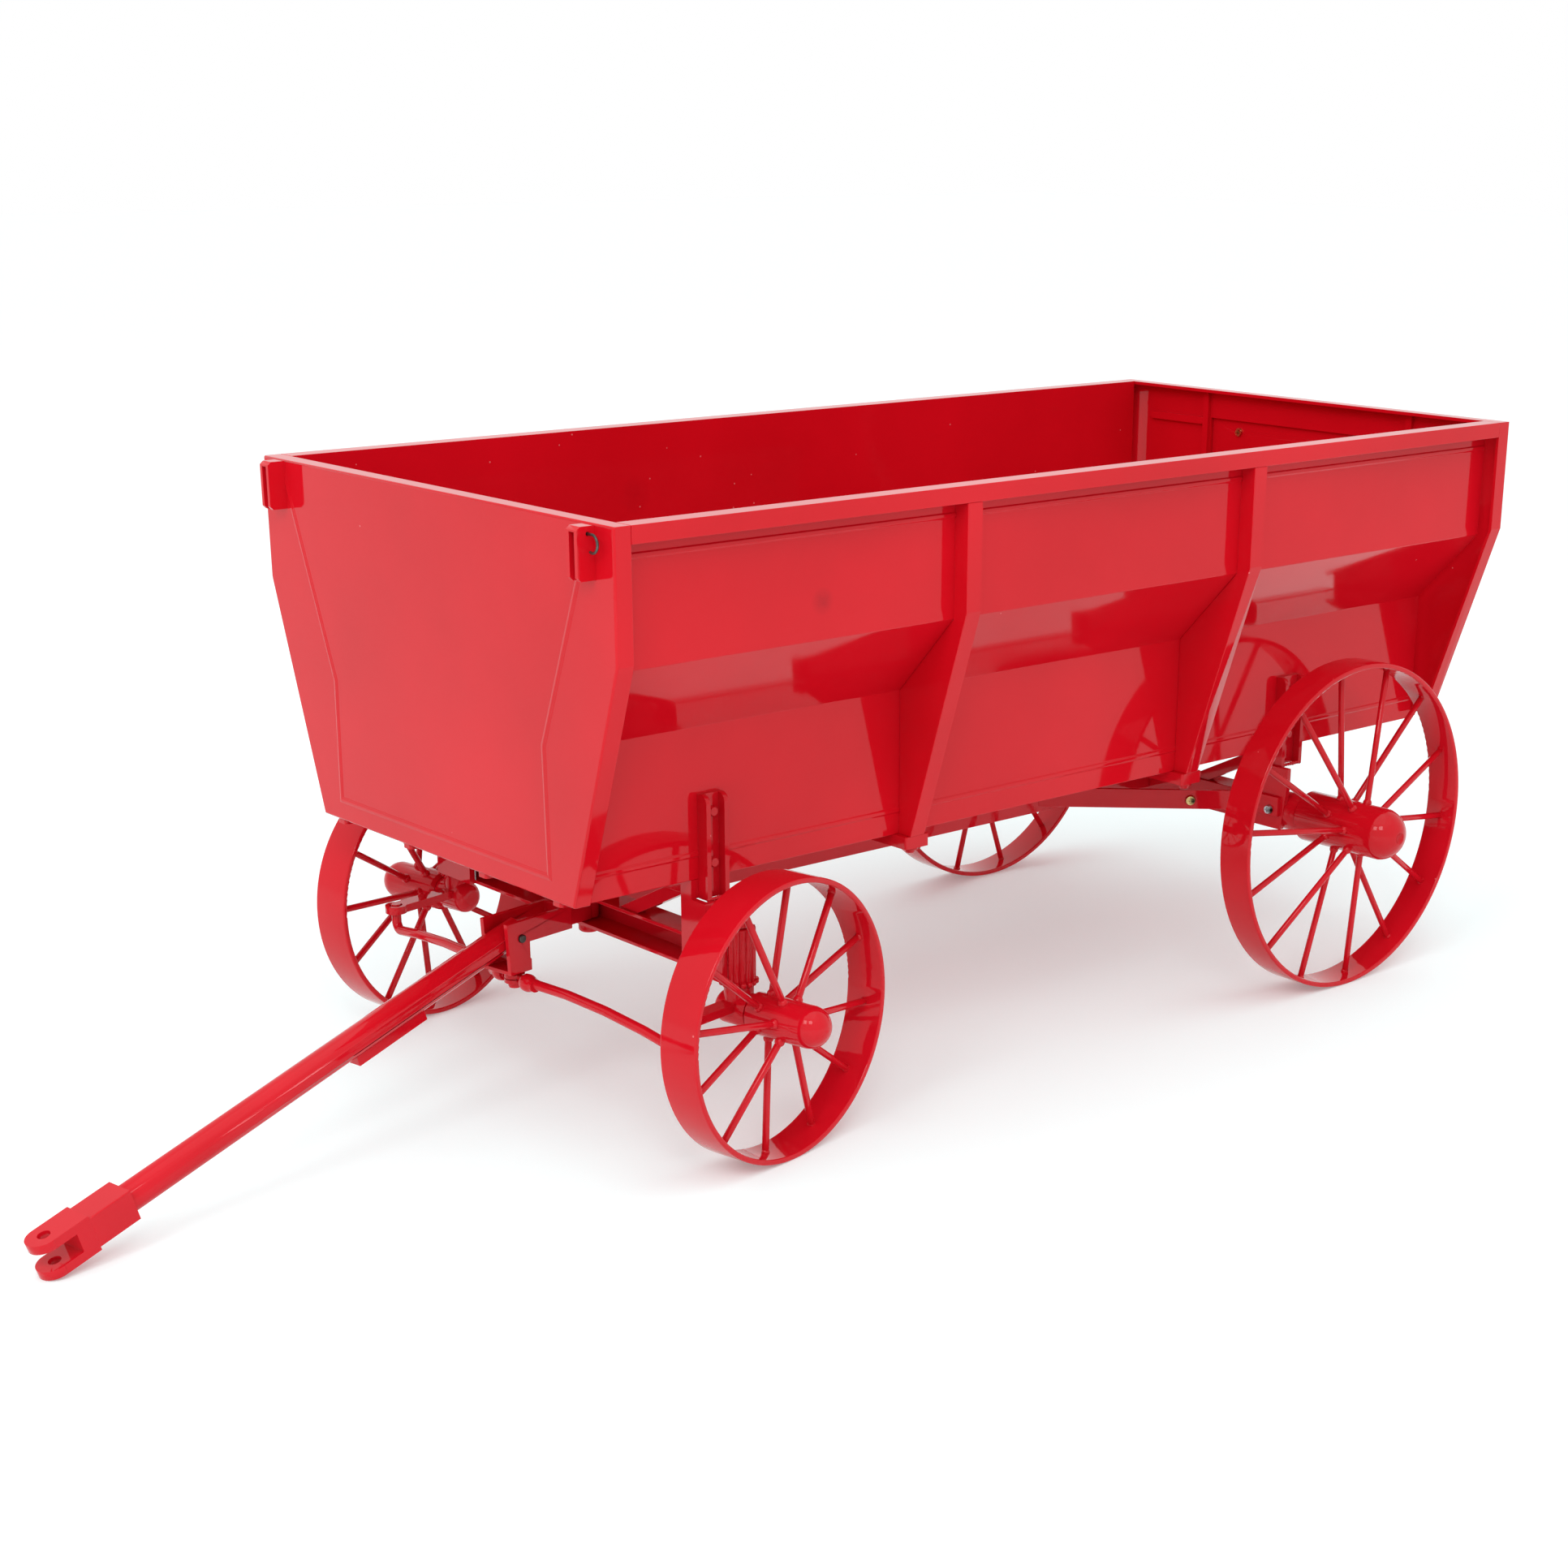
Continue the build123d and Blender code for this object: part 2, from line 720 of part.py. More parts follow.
def wheel(
    middle,
    radius,
    width,
    hub_radius,
    hub_inner,
    hub_outer,
    dome,
    dimple,
    bore,
    spoke_count,
    rows,
    first_spoke,
):
    """Spoked wheel about the z axis of its middle plane: returns its rim, its spokes and its hub.

    The spokes leave the hub in two rows, outer and inner by turns, and meet in the middle of the rim.
    """
    band = 1.8
    spoke_radius = 1.1
    seat = 1.3             # depth of a spoke's hole in the hub
    bead = 1.6             # weld bead round the foot of a spoke
    with BuildPart() as rim:
        with BuildSketch(middle.offset(-width / 2)):
            Circle(radius)
            Circle(radius - band, mode=Mode.SUBTRACT)
        extrude(amount=width)
        fillet(rim.edges().filter_by(GeomType.CIRCLE), 0.6)

    feet = []
    for number in range(spoke_count):
        row = rows[number % 2]
        spread = Vector(1, 0, 0).rotate(Axis.Z, first_spoke + 360 * number / spoke_count)
        foot = middle.from_local_coords(spread * (hub_radius - seat) + Vector(0, 0, row))
        head = middle.from_local_coords(spread * (radius - band / 2))
        feet.append(Plane(origin=foot, z_dir=head - foot))
    spoke_length = hypot(radius - band / 2 - hub_radius + seat, max(abs(row) for row in rows))

    with BuildPart() as spokes:
        for foot in feet:
            with BuildSketch(foot):
                Circle(spoke_radius)
            extrude(amount=spoke_length)
        with BuildSketch(middle.offset(-width)):
            Circle(radius - band)
        extrude(amount=2 * width, mode=Mode.INTERSECT)

    cap_radius = (dome**2 + hub_radius**2) / (2 * dome)
    cap_angle = asin(hub_radius / cap_radius) / 2
    cap_middle = (cap_radius * sin(cap_angle), hub_outer + dome - cap_radius * (1 - cos(cap_angle)))
    section = Plane(origin=middle.origin, x_dir=middle.x_dir, z_dir=middle.y_dir * -1)
    with BuildPart() as hub:
        with BuildSketch(section):
            with BuildLine():
                Polyline(
                    (0, hub_outer + dome),
                    (0, hub_outer - 0.7),
                    (bore + running_gap, hub_outer - 0.7),
                    (bore + running_gap, hub_inner),
                    (hub_radius - 1.2, hub_inner),
                    (hub_radius, hub_inner + 1.2),
                    (hub_radius, hub_outer),
                )
                ThreePointArc((hub_radius, hub_outer), cap_middle, (0, hub_outer + dome))
            make_face()
        revolve(axis=Axis(middle.origin, middle.z_dir))
        if dimple > 0:
            with Locations(middle.offset(hub_outer + dome + dimple / 2).location):
                Sphere(dimple, mode=Mode.SUBTRACT)
        with Locations([foot.offset(seat + 0.3).location for foot in feet]):
            Sphere(bead)
        for foot in feet:
            with BuildSketch(foot):
                Circle(spoke_radius)
            extrude(amount=spoke_length / 2, mode=Mode.SUBTRACT)
    return {"rim": rim.part, "spokes": spokes.part, "hub": hub.part}


first_spokes = {"front_left": 22.2, "front_right": 1.2, "rear_left": 32.2, "rear_right": 14.0}
wheels = {}
for side_name, side in SIDES.items():
    wheels[f"front_{side_name}"] = wheel(
        middle=stub_plane(side, front_wheel_offset),
        radius=front_wheel_radius,
        width=front_rim_width,
        hub_radius=front_hub_radius,
        hub_inner=front_hub_inner - front_wheel_offset,
        hub_outer=front_hub_outer - front_wheel_offset,
        dome=front_hub_radius,
        dimple=0,
        bore=stub_radius,
        spoke_count=12,
        rows=(4.9, -2.7),
        first_spoke=first_spokes[f"front_{side_name}"],
    )

# ---------------------------------------------------------------- tongue head and tie rods
head_half = 6.2            # outside of the tongue head's side plates
head_sheet = 1.6
head_head_z = beam_head_z - channel - 0.4
head_foot_z = beam_foot_z + channel + 0.4
tab_foot_z = 46.9
tab_sheet = 1.2
lug_pin_radius = 1.2
hitch_pin_radius = 1.3

with BuildPart() as tongue_head:
    with BuildSketch(head_plane(head_foot_z)):
        Circle(3.4)
        with Locations((8, 0)):
            Rectangle(12, 6.8)
    extrude(amount=head_head_z - head_foot_z)
    with BuildSketch(head_plane(head_foot_z)):
        Circle(1.8 + running_gap)
    extrude(amount=head_head_z - head_foot_z, mode=Mode.SUBTRACT)
    with BuildSketch(head_plane(head_foot_z)):
        with Locations((14, 0)):
            Rectangle(head_sheet, 2 * head_half)
    extrude(amount=head_head_z - head_foot_z)
    for across in (head_half, head_sheet - head_half):
        start = head_point(0, across, 0)
        cheek_plane = Plane(
            origin=start, x_dir=head_plane(0).x_dir, z_dir=head_plane(0).y_dir * -1
        )
        with BuildSketch(cheek_plane):
            with BuildLine():
                Polyline(
                    (13.2, head_head_z),
                    (13.2, head_foot_z),
                    (31.5, head_foot_z),
                    (31.5, tab_foot_z + 2.5),
                    (40, tab_foot_z),
                    (41, head_head_z),
                    close=True,
                )
            make_face()
            with Locations((hitch_reach, hitch_z)):
                Circle(hitch_pin_radius, mode=Mode.SUBTRACT)
        extrude(amount=head_sheet)
    with BuildSketch(head_plane(tab_foot_z - tab_sheet)):
        with Locations((35.5, 0)):
            Rectangle(9, 2 * head_half)
        with Locations((lug_reach, 0)):
            Circle(lug_pin_radius, mode=Mode.SUBTRACT)
    extrude(amount=tab_sheet + 2.6)
    with BuildSketch(head_plane(tab_foot_z)):
        with Locations((35.5, 0)):
            Rectangle(12, 2 * (head_half - head_sheet))
    extrude(amount=4, mode=Mode.SUBTRACT)

with BuildPart() as hitch_pin:
    hitch_centre = head_point(hitch_reach, 0, hitch_z)
    hitch_axis_plane = Plane(origin=hitch_centre, x_dir=(0, 0, 1), z_dir=head_plane(0).y_dir)
    with BuildSketch(hitch_axis_plane.offset(-10.5)):
        Circle(hitch_pin_radius)
    extrude(amount=10.5 + head_half + 0.8)
    fillet(hitch_pin.edges().filter_by(GeomType.CIRCLE), 0.3)

rod_level = 42.4           # height of the middle of both rods
rod_eye_height = 1.3
rod_eye_radius = 3.3
upper_eye_z = rod_level + 0.2
lower_eye_z = upper_eye_z - rod_eye_height - side_gap
rod_elbow_z = 38.4
rod_bow = 2.2              # rise of a rod's middle above a straight line

with BuildPart() as tie_rod_pin:
    with BuildSketch(head_plane(lower_eye_z - side_gap)):
        with Locations((lug_reach, 0)):
            Circle(lug_pin_radius)
    extrude(amount=tab_foot_z - lower_eye_z + side_gap)
    with BuildSketch(head_plane(lower_eye_z - side_gap)):
        with Locations((lug_reach, 0)):
            Circle(2.3)
    extrude(amount=-1.4, taper=15)


def tie_rod(side, eye_z):
    """Tie rod: eye below the tongue head, turned ball, and a bowed rod that turns up into the arm."""
    pin = head_point(lug_reach, 0, rod_level)
    outer = arm_end(side, rod_elbow_z)
    top = arm_end(side, arm_foot_z + arm_height + 0.4)
    start = Vector(pin.X + side * 4.2, pin.Y, rod_level)
    bow = []
    for share in (0.3, 0.55, 0.8):
        point = start + (outer - start) * share
        point.Z += rod_bow * 4 * share * (1 - share)
        bow.append(point)
    with BuildPart() as rod:
        with BuildLine():
            route = FilletPolyline(start, *bow, outer, top, radius=(60, 60, 60, 2.8))
        with BuildSketch(Plane(origin=route @ 0, z_dir=route % 0)):
            Circle(rod_radius)
        sweep()
        with BuildSketch(Plane.XY.offset(eye_z)):
            with Locations((pin.X, pin.Y)):
                Circle(rod_eye_radius)
            with Locations((pin.X + side * 3, pin.Y)):
                Rectangle(6, 2.2)
        extrude(amount=rod_eye_height)
        with BuildSketch(Plane.XY.offset(eye_z)):
            with Locations((pin.X, pin.Y)):
                Circle(lug_pin_radius + running_gap)
        extrude(amount=rod_eye_height, mode=Mode.SUBTRACT)
        with BuildSketch(Plane(origin=pin, x_dir=(side, 0, 0), z_dir=(0, -side, 0))):
            with BuildLine():
                Polyline((5.2, 0), (5.2, 2.3))
                ThreePointArc((5.2, 2.3), (7.6, 2.9), (10, 2.3))
                Polyline((10, 2.3), (10.6, 2.1), (11.8, 2.1), (11.8, 0), (5.2, 0))
            make_face()
        revolve(axis=Axis(pin, (1, 0, 0)))
    return rod.part


tie_rods = {
    "left": tie_rod(LEFT, upper_eye_z),
    "right": tie_rod(RIGHT, lower_eye_z),
}

# ---------------------------------------------------------------- tongue
pitch = radians(tongue_pitch)
yaw = radians(tongue_yaw)
tongue_ahead = Vector(sin(yaw) * cos(pitch), -cos(yaw) * cos(pitch), -sin(pitch))
tongue_left = Vector(cos(yaw), sin(yaw), 0)


def tongue_cross(ahead):
    """Plane square to the tongue: x runs across to the left and y upwards."""
    return Plane(origin=hitch_centre + tongue_ahead * ahead, x_dir=tongue_left, z_dir=tongue_ahead)


tongue_up = tongue_cross(0).y_dir


def tongue_level(lift):
    """Plane along the tongue at a height above its middle: x runs ahead, y to the left."""
    level_up = tongue_up if tongue_up.Z > 0 else tongue_up * -1
    return Plane(origin=hitch_centre + level_up * lift, x_dir=tongue_ahead, z_dir=level_up)


collar_start = 152.0
collar_length = 14.0
collar_width = 9.9
clevis_root = collar_start + collar_length
prong_height = 2.8
clevis_pin_reach = tongue_reach - 5.5
clevis_pin_radius = 1.9

with BuildPart() as tongue_tube:
    with BuildSketch(tongue_cross(-3.4)):
        Circle(tongue_width / 2)
        Circle(tongue_width / 2 - 1, mode=Mode.SUBTRACT)
    extrude(amount=3.4 + clevis_root)
    with BuildSketch(hitch_axis_plane.offset(-10)):
        Circle(hitch_pin_radius + running_gap)
    extrude(amount=20, mode=Mode.SUBTRACT)

with BuildPart() as tongue_core:
    with BuildSketch(tongue_cross(0)):
        Circle(tongue_width / 2)
    extrude(amount=clevis_root)

with BuildPart() as tongue_collar:
    with BuildSketch(tongue_cross(collar_start)):
        Rectangle(collar_width, collar_width)
        Circle(tongue_width / 2, mode=Mode.SUBTRACT)
    extrude(amount=collar_length)
    fillet(tongue_collar.edges().filter_by(GeomType.LINE).group_by(SortBy.LENGTH)[-1], 0.4)

with BuildPart() as tongue_clevis:
    with BuildSketch(tongue_level(-clevis_height / 2)):
        with Locations(((clevis_root + clevis_pin_reach) / 2, 0)):
            Rectangle(clevis_pin_reach - clevis_root, collar_width)
        with Locations((tongue_reach - collar_width / 2, 0)):
            Circle(collar_width / 2)
    extrude(amount=clevis_height)
    with BuildSketch(tongue_level(prong_height - clevis_height / 2)):
        with Locations((clevis_root + 5 + 20, 0)):
            Rectangle(40, 2 * collar_width)
    extrude(amount=clevis_height - 2 * prong_height, mode=Mode.SUBTRACT)
    with BuildSketch(tongue_level(-clevis_height)):
        with Locations((clevis_pin_reach, 0)):
            Circle(clevis_pin_radius)
    extrude(amount=2 * clevis_height, mode=Mode.SUBTRACT)

with BuildPart() as tongue_stiffener:
    with BuildSketch(tongue_level(-tongue_width / 2 - 2.4)):
        with Locations((54, 0)):
            Rectangle(28, 5.4)
    extrude(amount=4.4)
    add(tongue_core.part, mode=Mode.SUBTRACT)

# ---------------------------------------------------------------- rear axle
rear_beam_half = 68.0
with BuildPart() as rear_axle_beam:
    with BuildSketch(Plane.YZ.offset(-rear_beam_half)):
        with Locations((rear_y, beam_foot_z + beam_height / 2)):
            Rectangle(beam_depth, beam_height)
            Rectangle(beam_depth - 2 * channel, beam_height - 2 * channel, mode=Mode.SUBTRACT)
    extrude(amount=2 * rear_beam_half)

with BuildPart() as rear_standards:
    for side in (LEFT, RIGHT):
        with BuildSketch(upright_plane(rear_y - beam_depth / 2)):
            with BuildLine():
                Polyline(
                    (side * 57, beam_foot_z),
                    (side * 57, wall_foot_z),
                    (side * lower_wall_x, wall_foot_z),
                    (side * lower_wall_x, bolster_foot_z),
                    (side * 73, bolster_foot_z),
                    (side * 73, 69),
                    (side * 71, beam_foot_z),
                    close=True,
                )
            make_face()
        extrude(amount=plate)

shoulder_radius = 6.9
rear_stub_radius = 3.0
rear_hub_inner = 78.0
rear_hub_outer = 113.0
with BuildPart() as rear_stub_axles:
    for side in (LEFT, RIGHT):
        with BuildSketch(Plane.YZ.offset(side * rear_beam_half)):
            with Locations((rear_y, rear_wheel_radius)):
                Circle(shoulder_radius)
        extrude(amount=side * (rear_hub_inner - side_gap - rear_beam_half))
        with BuildSketch(Plane.YZ.offset(side * (rear_hub_inner - side_gap))):
            with Locations((rear_y, rear_wheel_radius)):
                Circle(rear_stub_radius)
        extrude(amount=side * (rear_hub_outer - rear_hub_inner - 1))
    # the shoulders sit behind the upright plates
    add(rear_standards.part, mode=Mode.SUBTRACT)

for side_name, side in SIDES.items():
    wheels[f"rear_{side_name}"] = wheel(
        middle=Plane(
            origin=(side * rear_wheel_x, rear_y, rear_wheel_radius), x_dir=(0, 0, 1), z_dir=(side, 0, 0)
        ),
        radius=rear_wheel_radius,
        width=rear_rim_width,
        hub_radius=9.2,
        hub_inner=rear_hub_inner - rear_wheel_x,
        hub_outer=rear_hub_outer - rear_wheel_x,
        dome=7.4,
        dimple=2.6,
        bore=rear_stub_radius,
        spoke_count=14,
        rows=(8.0, -1.0),
        first_spoke=first_spokes[f"rear_{side_name}"],
    )

# ---------------------------------------------------------------- reach and hounds
reach_width = 7.0
reach_foot_z = 56.2
with BuildPart() as reach:
    with BuildSketch(Plane.XY.offset(reach_foot_z)):
        reach_start = front_y + beam_depth / 2
        reach_end = rear_y - beam_depth / 2
        with Locations((0, (reach_start + reach_end) / 2)):
            Rectangle(reach_width, reach_end - reach_start)
    extrude(amount=reach_width)

hound_foot_z = 58.4
hound_height = 7.2
hound_thickness = 2.0
hound_apex = Vector(reach_width / 2, box_centre_y + 54, 0)
hound_end = Vector(57, rear_y - beam_depth / 2 - plate - 1.4, 0)
with BuildPart() as hounds:
    for side in (LEFT, RIGHT):
        apex = (side * hound_apex.X, hound_apex.Y)
        end = (side * hound_end.X, hound_end.Y)
        with BuildSketch(Plane.XY.offset(hound_foot_z)):
            with BuildLine():
                Polyline(
                    apex,
                    end,
                    (side * 70.5, hound_end.Y),
                    (side * 70.5, hound_end.Y + hound_thickness - 0.6),
                    (end[0], hound_end.Y + hound_thickness - 0.6),
                    (apex[0], apex[1] + 2.6),
                    close=True,
                )
            make_face()
        extrude(amount=hound_height)

hound_run = hound_end - hound_apex


def screw_head(plane, radius):
    """Pan head with a cross recess, standing on a plane whose z points out of the screwed face."""
    with BuildPart() as head:
        with BuildSketch(plane):
            Circle(radius)
        extrude(amount=1.2, taper=18)
        with BuildSketch(plane.offset(0.6)):
            Rectangle(radius * 1.1, radius * 0.28)
            Rectangle(radius * 0.28, radius * 1.1)
        extrude(amount=1, mode=Mode.SUBTRACT)
    return head.part


hound_screw_heads = {}
for side_name, side in SIDES.items():
    outward = Vector(side * hound_run.Y, -hound_run.X, 0).normalized()
    screw_place = hound_apex + hound_run * 0.72
    middle_of_hound = Vector(side * screw_place.X, screw_place.Y, 61.8)
    hound_screw_heads[side_name] = screw_head(Plane(origin=middle_of_hound, z_dir=outward), 2.0)

with BuildPart() as hound_screws:
    add(hound_screw_heads["left"])
    add(hound_screw_heads["right"])

with BuildPart() as axle_screws:
    for side in (LEFT, RIGHT):
        face = Plane(origin=(side * 66.5, hound_end.Y, 60.6), x_dir=(1, 0, 0), z_dir=(0, -1, 0))
        add(screw_head(face, 1.8))

# ---------------------------------------------------------------- write the pieces
save(box_floor.part, "box_floor")
save(floor_runners.part, "floor_runners")
save(front_panel.part, "front_panel")
save(rear_frame.part, "rear_frame")
save(end_gate.part, "end_gate")
save(gate_straps.part, "gate_straps")
save(gate_hinge_brackets.part, "gate_hinge_brackets")
save(gate_hinge_pin.part, "gate_hinge_pin")
save(gate_screws.part, "gate_screws")
save(corner_ears.part, "corner_ears")
save(ring_hook.part, "ring_hook")
save(cross_sills.part, "cross_sills")
save(sill_bolts.part, "sill_bolts")
save(bolsters.part, "bolsters")
save(front_stakes, "front_stakes")
save(rear_stakes, "rear_stakes")
save(stake_bolts.part, "stake_bolts")
save(front_axle_beam.part, "front_axle_beam")
save(king_bolt.part, "king_bolt")
save(king_bolt_nut.part, "king_bolt_nut")
save(bolster_braces.part, "bolster_braces")
save(bolster_posts.part, "bolster_posts")
save(front_standards.part, "front_standards")
save(tongue_head.part, "tongue_head")
save(hitch_pin.part, "hitch_pin")
save(tie_rod_pin.part, "tie_rod_pin")
save(tongue_tube.part, "tongue_tube")
save(tongue_collar.part, "tongue_collar")
save(tongue_clevis.part, "tongue_clevis")
save(tongue_stiffener.part, "tongue_stiffener")
save(rear_axle_beam.part, "rear_axle_beam")
save(rear_standards.part, "rear_standards")
save(rear_stub_axles.part, "rear_stub_axles")
save(reach.part, "reach")
save(hounds.part, "hounds")
save(hound_screws.part, "hound_screws")
save(axle_screws.part, "axle_screws")
for side_name in SIDES:
    save(side_panels[side_name], f"side_panel_{side_name}")
    save(ribs[side_name], f"side_ribs_{side_name}")
    save(knuckles[side_name], f"knuckle_{side_name}")
    save(kingpins[side_name], f"kingpin_{side_name}")
    save(tie_rods[side_name], f"tie_rod_{side_name}")
for wheel_name, pieces in wheels.items():
    for piece_name, piece in pieces.items():
        save(piece, f"{wheel_name}_{piece_name}")
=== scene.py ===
"""Looks of the toy flare wagon: glossy red enamel over sheet steel, brass and steel screws, studio light."""

import random
from math import cos, radians, sin

import bmesh
import bpy
from mathutils import Matrix, Vector


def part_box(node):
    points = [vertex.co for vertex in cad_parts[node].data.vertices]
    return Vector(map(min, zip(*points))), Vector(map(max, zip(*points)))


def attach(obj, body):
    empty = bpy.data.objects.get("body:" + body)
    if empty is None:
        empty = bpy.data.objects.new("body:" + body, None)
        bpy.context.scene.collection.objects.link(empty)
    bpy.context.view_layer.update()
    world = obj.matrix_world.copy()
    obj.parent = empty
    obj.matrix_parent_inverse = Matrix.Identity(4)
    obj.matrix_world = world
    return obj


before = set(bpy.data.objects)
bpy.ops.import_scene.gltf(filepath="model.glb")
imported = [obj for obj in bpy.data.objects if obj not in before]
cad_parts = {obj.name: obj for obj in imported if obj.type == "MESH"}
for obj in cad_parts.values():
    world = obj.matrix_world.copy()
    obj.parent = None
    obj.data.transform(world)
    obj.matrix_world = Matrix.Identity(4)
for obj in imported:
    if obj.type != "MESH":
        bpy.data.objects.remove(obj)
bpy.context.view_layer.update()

# ------------------------------------------------------------------ node helpers
# Lengths are metres. Texture scales count per metre. Colours are linear red, green, blue and alpha.


def new_material(name):
    """An empty node material: itself, its nodes, its links and its principled shader."""
    material = bpy.data.materials.new(name)
    material.use_nodes = True
    nodes = material.node_tree.nodes
    return material, nodes, material.node_tree.links, nodes["Principled BSDF"]


def object_space(nodes, links, stretch=(1, 1, 1)):
    """Object coordinates in metres, stretched along the axes."""
    coordinates = nodes.new("ShaderNodeTexCoord")
    mapping = nodes.new("ShaderNodeMapping")
    mapping.inputs["Scale"].default_value = stretch
    links.new(coordinates.outputs["Object"], mapping.inputs["Vector"])
    return mapping.outputs["Vector"]


def noise(nodes, links, vector, scale, detail, roughness=0.55):
    """A noise texture's value."""
    texture = nodes.new("ShaderNodeTexNoise")
    texture.inputs["Scale"].default_value = scale
    texture.inputs["Detail"].default_value = detail
    texture.inputs["Roughness"].default_value = roughness
    links.new(vector, texture.inputs["Vector"])
    return texture.outputs["Fac"]


def spread(nodes, links, value, low, high, from_low=0.3, from_high=0.7):
    """Maps a value, which mostly lies between from_low and from_high, to the range from low to high."""
    node = nodes.new("ShaderNodeMapRange")
    node.inputs["From Min"].default_value = from_low
    node.inputs["From Max"].default_value = from_high
    node.inputs["To Min"].default_value = low
    node.inputs["To Max"].default_value = high
    links.new(value, node.inputs["Value"])
    return node.outputs["Result"]


def blend_colour(nodes, links, factor, first, second):
    """Mixes two colours (a socket or a tuple each) by a factor socket."""
    node = nodes.new("ShaderNodeMix")
    node.data_type = "RGBA"
    links.new(factor, node.inputs["Factor"])
    sockets = [socket for socket in node.inputs if socket.type == "RGBA"]
    for socket, colour in zip(sockets, (first, second)):
        if isinstance(colour, tuple):
            socket.default_value = colour
        else:
            links.new(colour, socket)
    return [socket for socket in node.outputs if socket.type == "RGBA"][0]


def combine(nodes, links, operation, first, second):
    """A math node on two inputs, each a socket or a number."""
    node = nodes.new("ShaderNodeMath")
    node.operation = operation
    for socket, value in zip(node.inputs, (first, second)):
        if isinstance(value, (int, float)):
            socket.default_value = value
        else:
            links.new(value, socket)
    return node.outputs["Value"]


def specks(nodes, links, vector, scale, size, share):
    """Round specks in a share of the texture's cells: 1 inside a speck, 0 elsewhere."""
    texture = nodes.new("ShaderNodeTexVoronoi")
    texture.inputs["Scale"].default_value = scale
    links.new(vector, texture.inputs["Vector"])
    inside = combine(nodes, links, "LESS_THAN", texture.outputs["Distance"], size)
    split = nodes.new("ShaderNodeSeparateColor")
    links.new(texture.outputs["Color"], split.inputs["Color"])
    chosen = combine(nodes, links, "LESS_THAN", split.outputs["Red"], share)
    return combine(nodes, links, "MULTIPLY", inside, chosen)


def near(nodes, links, vector, place, radius, core=0.3):
    """1 in the core of a round patch on the object, fading to 0 at its radius."""
    away = nodes.new("ShaderNodeVectorMath")
    away.operation = "DISTANCE"
    links.new(vector, away.inputs[0])
    away.inputs[1].default_value = place
    distance = away.outputs["Value"]
    return spread(nodes, links, distance, low=1, high=0, from_low=radius * core, from_high=radius)


def bump(nodes, links, height, distance, strength, below=None):
    """Bump from a height; chained on the bump below it."""
    node = nodes.new("ShaderNodeBump")
    node.inputs["Strength"].default_value = strength
    node.inputs["Distance"].default_value = distance
    links.new(height, node.inputs["Height"])
    if below is not None:
        links.new(below, node.inputs["Normal"])
    return node.outputs["Normal"]


# ------------------------------------------------------------------ materials

dust_pink = (0.85, 0.3, 0.3, 1)
dust_strength = 0.4
smudge_red = (0.16, 0.002, 0.006, 1)
smudge_strength = 0.55
grain_dulling = 0.02
enamel_ior = 1.33
pit_brown = (0.06, 0.05, 0.04, 1)
pit_strength = 0.6
# painted shade: this dark brown, spread over a patch of this radius, stands in for the shade inside the screw
# heads' driver recesses
painted_socket_shade = (0.03, 0.022, 0.012, 1)
shaded_socket_radius = 0.0017
line_smoothing = 0.08
line_dulling = 0.1


def enamel(name, deep, bright, peel, dust=0.05, gloss=(0.03, 0.09), smudges=()):
    """Sprayed red enamel: slow colour drift, orange peel, shallow dents, rub marks, dust nibs, smudges."""
    material, nodes, links, shader = new_material(name)
    place = object_space(nodes, links)
    drift = noise(nodes, links, place, scale=14, detail=3)
    grain = noise(nodes, links, place, scale=900, detail=2)
    colour = blend_colour(nodes, links, spread(nodes, links, drift, low=0, high=1), deep, bright)
    nib = specks(nodes, links, place, scale=160, size=0.05, share=dust)
    dusty = combine(nodes, links, "MULTIPLY", nib, dust_strength)
    colour = blend_colour(nodes, links, dusty, colour, dust_pink)
    for middle, radius in smudges:
        patch = combine(nodes, links, "MULTIPLY", near(nodes, links, place, middle, radius), smudge_strength)
        blotches = noise(nodes, links, place, scale=260, detail=4, roughness=0.7)
        patch = combine(nodes, links, "MULTIPLY", patch, blotches)
        colour = blend_colour(nodes, links, patch, colour, smudge_red)
    links.new(colour, shader.inputs["Base Color"])

    smooth, dull = gloss
    lengthwise = object_space(nodes, links, stretch=(1, 0.25, 1))
    rub = noise(nodes, links, lengthwise, scale=45, detail=6, roughness=0.7)
    roughness = spread(nodes, links, rub, smooth, dull, from_low=0.35, from_high=0.75)
    grainy = combine(nodes, links, "MULTIPLY", grain, grain_dulling)
    links.new(combine(nodes, links, "ADD", roughness, grainy), shader.inputs["Roughness"])
    shader.inputs["IOR"].default_value = enamel_ior

    waves = noise(nodes, links, place, scale=420, detail=2, roughness=0.5)
    dents = noise(nodes, links, place, scale=26, detail=2, roughness=0.4)
    normal = bump(nodes, links, dents, distance=0.0006, strength=peel)
    normal = bump(nodes, links, waves, distance=0.00008, strength=peel, below=normal)
    normal = bump(nodes, links, nib, distance=0.00006, strength=0.6, below=normal)
    links.new(normal, shader.inputs["Normal"])
    return material


